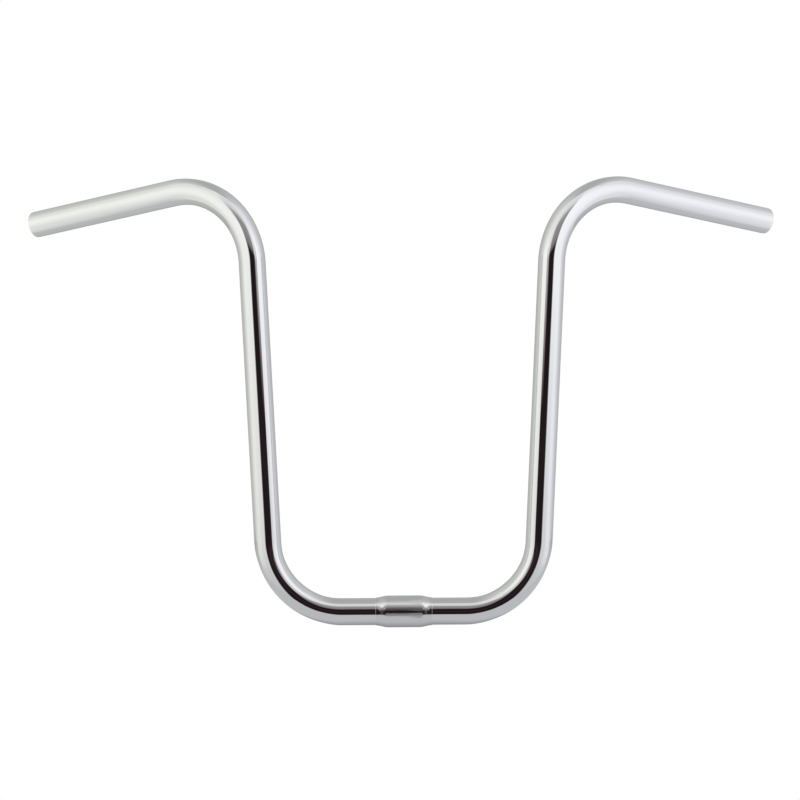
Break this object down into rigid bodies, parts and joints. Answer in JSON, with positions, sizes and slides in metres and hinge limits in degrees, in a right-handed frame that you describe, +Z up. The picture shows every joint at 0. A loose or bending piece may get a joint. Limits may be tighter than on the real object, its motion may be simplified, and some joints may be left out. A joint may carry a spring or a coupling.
{
  "type": "high-rise handlebar",
  "caption": "Tall U-shaped chromed steel handlebar: bent tube with a swaged, knurled clamp sleeve at its centre and swept-back straight grip ends.",
  "frame": {"origin": "middle of the stem clamp, on the tube's axis", "axes": "+X along the clamp to the right grip, +Z up the legs, +Y to the rider, the way the grips sweep back"},
  "size_m": [0.6434, 0.1084, 0.3733],
  "materials": {
    "chrome_plate": "bright mirror chrome plate over polished steel",
    "knurled_chrome": "duller chrome plate over fine straight knurling"
  },
  "bodies": {
    "root": {"bar_tube": "chrome_plate", "centre_sleeve": "knurled_chrome"}
  },
  "joints": []
}
